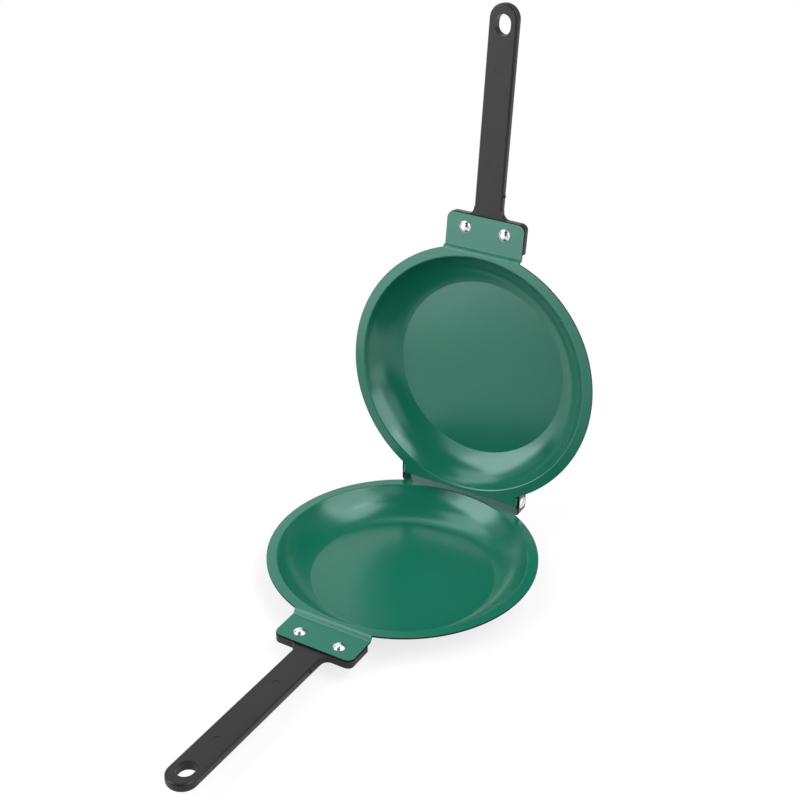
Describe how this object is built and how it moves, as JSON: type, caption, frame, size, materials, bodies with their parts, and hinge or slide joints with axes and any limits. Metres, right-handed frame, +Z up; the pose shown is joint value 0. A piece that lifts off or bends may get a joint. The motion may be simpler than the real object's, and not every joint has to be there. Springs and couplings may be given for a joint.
{
  "type": "double sided flip pan",
  "caption": "Shallow round frying pan hinged rim to rim with a matching pan, each with a flat moulded handle, so that food held between them is turned by flipping the closed pair.",
  "frame": {"origin": "centre of the lower pan's base, on the surface that it stands on", "axes": "+Z up; +Y from the lower handle towards the hinge; +X along the hinge, to the right seen from the handles"},
  "size_m": [0.19, 0.3938, 0.3761],
  "materials": {
    "coated_steel": "satin green ceramic non-stick coating on the cooking side, charcoal heat-resistant coating outside",
    "handle_plastic": "black moulded heat-resistant plastic with a satin surface",
    "rivet_steel": "bright stainless steel"
  },
  "bodies": {
    "lower": {"lower_pan": "coated_steel", "lower_handle": "handle_plastic", "lower_handle_rivet_left": "rivet_steel", "lower_handle_rivet_right": "rivet_steel", "lower_washer_left": "rivet_steel", "lower_washer_right": "rivet_steel", "hinge_rivet_left": "rivet_steel", "hinge_rivet_right": "rivet_steel"},
    "upper": {"upper_pan": "coated_steel", "upper_handle": "handle_plastic", "upper_handle_rivet_left": "rivet_steel", "upper_handle_rivet_right": "rivet_steel", "upper_washer_left": "rivet_steel", "upper_washer_right": "rivet_steel"}
  },
  "joints": [
    {"name": "pan_hinge", "type": "hinge", "parent": "lower", "child": "upper", "pos_m": [0, 0.0892, 0.028], "axis": [1, 0, 0], "range_deg": [0, 97.2]}
  ]
}
